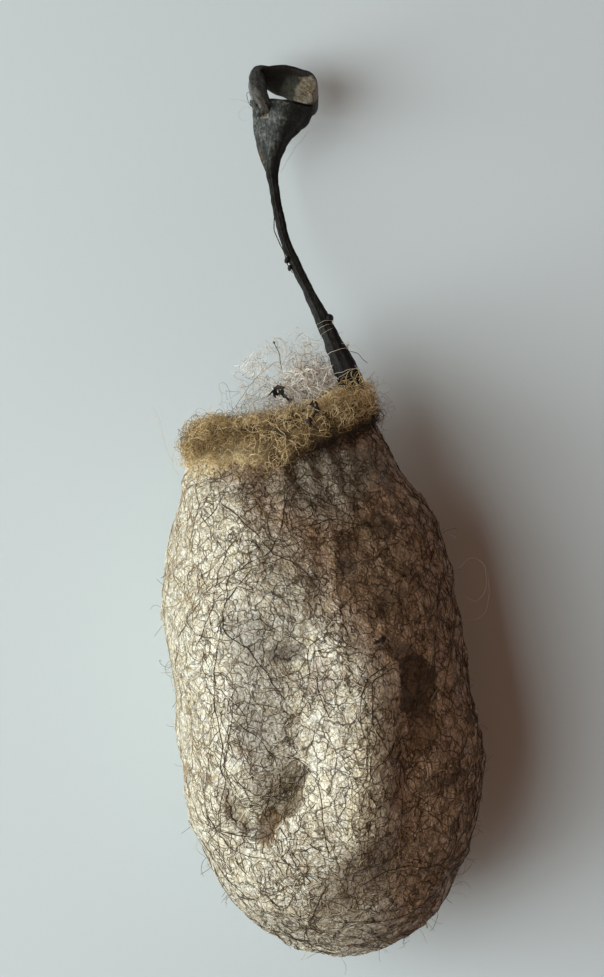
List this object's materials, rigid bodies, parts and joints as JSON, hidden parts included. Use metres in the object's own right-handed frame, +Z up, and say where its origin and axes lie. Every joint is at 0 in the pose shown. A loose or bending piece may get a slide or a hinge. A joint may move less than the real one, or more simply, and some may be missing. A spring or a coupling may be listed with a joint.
{
  "type": "silk cocoon",
  "caption": "Wild silk moth's cocoon lying on its belly: a dented hollow egg-shaped shell with a woolly open mouth and a thin dark stalk ending in a twig strap",
  "frame": {"origin": "middle of the small flat spot on the belly that the cocoon rests on", "axes": "+Y along the cocoon towards its mouth and stalk, +X to its right seen from above, +Z up"},
  "size_m": [0.0285, 0.0815, 0.0274],
  "materials": {
    "spun_silk": "matted cream and grey silk with a net of darker brown fibres, slightly shiny",
    "loose_floss": "curled loose golden-brown fibres, matt",
    "hard_stalk": "hard blackish-grey spun stalk with fine lengthwise ridges, satin"
  },
  "bodies": {
    "root": {"cocoon_shell": "spun_silk", "mouth_wool": "loose_floss", "stalk": "hard_stalk"}
  },
  "joints": []
}
